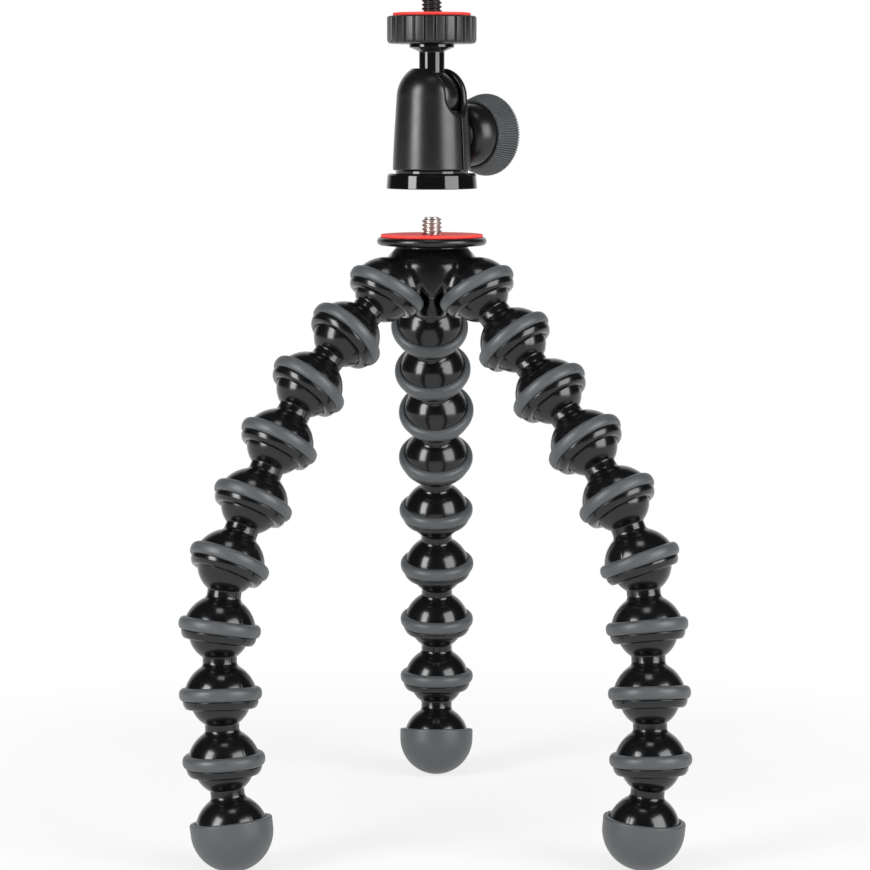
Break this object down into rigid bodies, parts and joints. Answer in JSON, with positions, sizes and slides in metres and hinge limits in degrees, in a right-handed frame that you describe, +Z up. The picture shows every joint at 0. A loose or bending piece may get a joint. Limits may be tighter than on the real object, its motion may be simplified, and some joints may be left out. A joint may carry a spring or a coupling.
{
  "type": "flexible leg tripod",
  "caption": "Small camera tripod with jointed ball-and-cup bead legs, grey grip rings, a round plate with a stud, and a ball head lifted off it.",
  "frame": {"origin": "middle of the box around the object, on the surface it stands on", "axes": "+Z up along the hub and head axis, -Y towards the front between the two front legs, +X to the right"},
  "size_m": [0.1562, 0.1618, 0.266],
  "materials": {
    "link_plastic": "satin gloss black moulded plastic",
    "grip_rubber": "matte blue-grey overmoulded rubber",
    "red_rubber": "soft red friction pad",
    "stainless": "bright stainless steel",
    "black_metal": "glossy black metal",
    "satin_plastic": "fine-grained satin black plastic",
    "nylon": "black nylon",
    "brass": "turned brass"
  },
  "bodies": {
    "stand": {"hub_body": "link_plastic", "hub_grip_rings": "grip_rubber", "base_plate": "link_plastic", "plate_pad": "red_rubber", "tripod_stud": "stainless"},
    "head_base": {"head_base": "black_metal"},
    "head_housing": {"head_housing": "satin_plastic", "retaining_clip": "stainless", "ball_seat": "nylon", "lock_insert": "brass", "lock_washer": "stainless"},
    "ball": {"pivot_ball": "black_metal"},
    "stem": {"ball_stem": "black_metal"},
    "camera_wheel": {"camera_wheel": "satin_plastic", "wheel_pad": "red_rubber", "camera_screw": "black_metal"},
    "lock_knob": {"knob_core": "satin_plastic", "knob_grip": "grip_rubber", "lock_screw": "stainless"},
    "left_link_1": {"left_leg_link_1": "link_plastic"},
    "left_link_2": {"left_leg_link_2": "link_plastic"},
    "left_link_3": {"left_leg_link_3": "link_plastic"},
    "left_link_4": {"left_leg_link_4": "link_plastic"},
    "left_link_5": {"left_leg_link_5": "link_plastic"},
    "left_link_6": {"left_leg_link_6": "link_plastic"},
    "left_link_7": {"left_leg_link_7": "link_plastic"},
    "left_link_8": {"left_leg_link_8": "link_plastic"},
    "left_foot": {"left_foot_link": "link_plastic", "left_foot_pad": "grip_rubber"},
    "right_link_1": {"right_leg_link_1": "link_plastic"},
    "right_link_2": {"right_leg_link_2": "link_plastic"},
    "right_link_3": {"right_leg_link_3": "link_plastic"},
    "right_link_4": {"right_leg_link_4": "link_plastic"},
    "right_link_5": {"right_leg_link_5": "link_plastic"},
    "right_link_6": {"right_leg_link_6": "link_plastic"},
    "right_link_7": {"right_leg_link_7": "link_plastic"},
    "right_link_8": {"right_leg_link_8": "link_plastic"},
    "right_foot": {"right_foot_link": "link_plastic", "right_foot_pad": "grip_rubber"},
    "rear_link_1": {"rear_leg_link_1": "link_plastic"},
    "rear_link_2": {"rear_leg_link_2": "link_plastic"},
    "rear_link_3": {"rear_leg_link_3": "link_plastic"},
    "rear_link_4": {"rear_leg_link_4": "link_plastic"},
    "rear_link_5": {"rear_leg_link_5": "link_plastic"},
    "rear_link_6": {"rear_leg_link_6": "link_plastic"},
    "rear_link_7": {"rear_leg_link_7": "link_plastic"},
    "rear_link_8": {"rear_leg_link_8": "link_plastic"},
    "rear_foot": {"rear_foot_link": "link_plastic", "rear_foot_pad": "grip_rubber"}
  },
  "joints": [
    {"name": "head_lift", "type": "slide", "parent": "stand", "child": "head_base", "axis": [0, 0, 1], "range_m": [-0.01425, 0]},
    {"name": "head_pan", "type": "hinge", "parent": "head_base", "child": "head_housing", "pos_m": [-0.00098, -0.01534, 0.20569], "axis": [0, 0, 1], "continuous": true},
    {"name": "ball_tilt", "type": "hinge", "parent": "head_housing", "child": "ball", "pos_m": [-0.00098, -0.01534, 0.23404], "axis": [0.6018, 0.7986, 0], "range_deg": [-6, 90]},
    {"name": "stem_swivel", "type": "hinge", "parent": "ball", "child": "stem", "pos_m": [-0.00098, -0.01534, 0.23404], "axis": [0, 0, 1], "continuous": true},
    {"name": "wheel_turn", "type": "hinge", "parent": "stem", "child": "camera_wheel", "pos_m": [-0.00098, -0.01534, 0.25088], "axis": [0, 0, 1], "continuous": true},
    {"name": "knob_turn", "type": "hinge", "parent": "head_housing", "child": "lock_knob", "pos_m": [-0.00098, -0.01534, 0.22234], "axis": [0.6018, 0.7986, 0], "range_deg": [0, 270]},
    {"name": "left_ball_1", "type": "hinge", "parent": "stand", "child": "left_link_1", "pos_m": [-0.01561, -0.02379, 0.17344], "axis": [-0.5776, 0.8159, 0.0259], "range_deg": [-42, 7]},
    {"name": "left_ball_2", "type": "hinge", "parent": "left_link_1", "child": "left_link_2", "pos_m": [-0.02827, -0.03233, 0.16016], "axis": [-0.5941, -0.4477, 0.6682], "range_deg": [-23, 24]},
    {"name": "left_ball_3", "type": "hinge", "parent": "left_link_2", "child": "left_link_3", "pos_m": [-0.03963, -0.0397, 0.14513], "axis": [-0.6018, 0.7986, 0], "range_deg": [-15, 33]},
    {"name": "left_ball_4", "type": "hinge", "parent": "left_link_3", "child": "left_link_4", "pos_m": [-0.04843, -0.04634, 0.12815], "axis": [-0.6921, -0.5215, 0.4991], "range_deg": [-26, 22]},
    {"name": "left_ball_5", "type": "hinge", "parent": "left_link_4", "child": "left_link_5", "pos_m": [-0.05606, -0.05297, 0.11063], "axis": [-0.6222, 0.7813, -0.0506], "range_deg": [-22, 27]},
    {"name": "left_ball_6", "type": "hinge", "parent": "left_link_5", "child": "left_link_6", "pos_m": [-0.0629, -0.05957, 0.09277], "axis": [-0.7843, -0.591, 0.1885], "range_deg": [-16, 20]},
    {"name": "left_ball_7", "type": "hinge", "parent": "left_link_6", "child": "left_link_7", "pos_m": [-0.06558, -0.06235, 0.0729], "axis": [-0.6035, 0.7877, -0.1238], "range_deg": [-17, 31]},
    {"name": "left_ball_8", "type": "hinge", "parent": "left_link_7", "child": "left_link_8", "pos_m": [-0.06509, -0.06512, 0.05287], "axis": [-0.7986, -0.6018, -0.0085], "range_deg": [-21, 27]},
    {"name": "left_ball_9", "type": "hinge", "parent": "left_link_8", "child": "left_foot", "pos_m": [-0.06411, -0.06614, 0.03268], "axis": [-0.591, 0.792, -0.1535], "range_deg": [-23, 25]},
    {"name": "right_ball_1", "type": "hinge", "parent": "stand", "child": "right_link_1", "pos_m": [0.01366, -0.02379, 0.17344], "axis": [-0.5517, -0.8311, -0.0692], "range_deg": [-33, 16]},
    {"name": "right_ball_2", "type": "hinge", "parent": "right_link_1", "child": "right_link_2", "pos_m": [0.02527, -0.03023, 0.15817], "axis": [0.6028, -0.4542, 0.656], "range_deg": [-20, 29]},
    {"name": "right_ball_3", "type": "hinge", "parent": "right_link_2", "child": "right_link_3", "pos_m": [0.03601, -0.03803, 0.14289], "axis": [-0.608, -0.7939, 0.0087], "range_deg": [-25, 23]},
    {"name": "right_ball_4", "type": "hinge", "parent": "right_link_3", "child": "right_link_4", "pos_m": [0.04668, -0.04637, 0.12786], "axis": [0.6484, -0.4886, 0.5838], "range_deg": [-24, 23]},
    {"name": "right_ball_5", "type": "hinge", "parent": "right_link_4", "child": "right_link_5", "pos_m": [0.05611, -0.05347, 0.11143], "axis": [-0.5834, -0.8103, -0.0544], "range_deg": [-10, 38]},
    {"name": "right_ball_6", "type": "hinge", "parent": "right_link_5", "child": "right_link_6", "pos_m": [0.0628, -0.05703, 0.09267], "axis": [0.7863, -0.5925, 0.1748], "range_deg": [-14, 30]},
    {"name": "right_ball_7", "type": "hinge", "parent": "right_link_6", "child": "right_link_7", "pos_m": [0.06467, -0.06041, 0.07281], "axis": [-0.611, -0.7803, 0.1337], "range_deg": [-22, 27]},
    {"name": "right_ball_8", "type": "hinge", "parent": "right_link_7", "child": "right_link_8", "pos_m": [0.06521, -0.06423, 0.05294], "axis": [0.7963, -0.6, 0.0766], "range_deg": [-28, 21]},
    {"name": "right_ball_9", "type": "hinge", "parent": "right_link_8", "child": "right_foot", "pos_m": [0.06558, -0.06631, 0.03282], "axis": [-0.5956, -0.7994, 0.0787], "range_deg": [-16, 33]},
    {"name": "rear_ball_1", "type": "hinge", "parent": "stand", "child": "rear_link_1", "pos_m": [-0.00098, 0.00156, 0.17344], "axis": [0.999, 0.0086, -0.0437], "range_deg": [-37, 11]},
    {"name": "rear_ball_2", "type": "hinge", "parent": "rear_link_1", "child": "rear_link_2", "pos_m": [-0.00173, 0.01585, 0.15913], "axis": [0.0268, 0.766, 0.6423], "range_deg": [-19, 30]},
    {"name": "rear_ball_3", "type": "hinge", "parent": "rear_link_2", "child": "rear_link_3", "pos_m": [-0.00059, 0.0288, 0.14363], "axis": [0.998, -0.0583, 0.026], "range_deg": [-26, 23]},
    {"name": "rear_ball_4", "type": "hinge", "parent": "rear_link_3", "child": "rear_link_4", "pos_m": [0.00059, 0.04229, 0.12859], "axis": [0.0293, 0.8394, 0.5427], "range_deg": [-27, 19]},
    {"name": "rear_ball_5", "type": "hinge", "parent": "rear_link_4", "child": "rear_link_5", "pos_m": [0.0004, 0.05328, 0.1116], "axis": [0.9994, -0.0331, -0.0054], "range_deg": [-11, 38]},
    {"name": "rear_ball_6", "type": "hinge", "parent": "rear_link_5", "child": "rear_link_6", "pos_m": [0.00051, 0.05987, 0.09247], "axis": [0.0339, 0.9697, 0.2418], "range_deg": [-23, 25]},
    {"name": "rear_ball_7", "type": "hinge", "parent": "rear_link_6", "child": "rear_link_7", "pos_m": [0.00085, 0.06475, 0.07284], "axis": [0.9994, -0.0332, -0.0108], "range_deg": [-19, 29]},
    {"name": "rear_ball_8", "type": "hinge", "parent": "rear_link_7", "child": "rear_link_8", "pos_m": [0.00074, 0.06791, 0.05286], "axis": [0.0349, 0.9992, 0.0174], "range_deg": [-23, 24]},
    {"name": "rear_ball_9", "type": "hinge", "parent": "rear_link_8", "child": "rear_foot", "pos_m": [0.00074, 0.06827, 0.03263], "axis": [0.9994, -0.0349, 0], "range_deg": [-14, 35]}
  ]
}
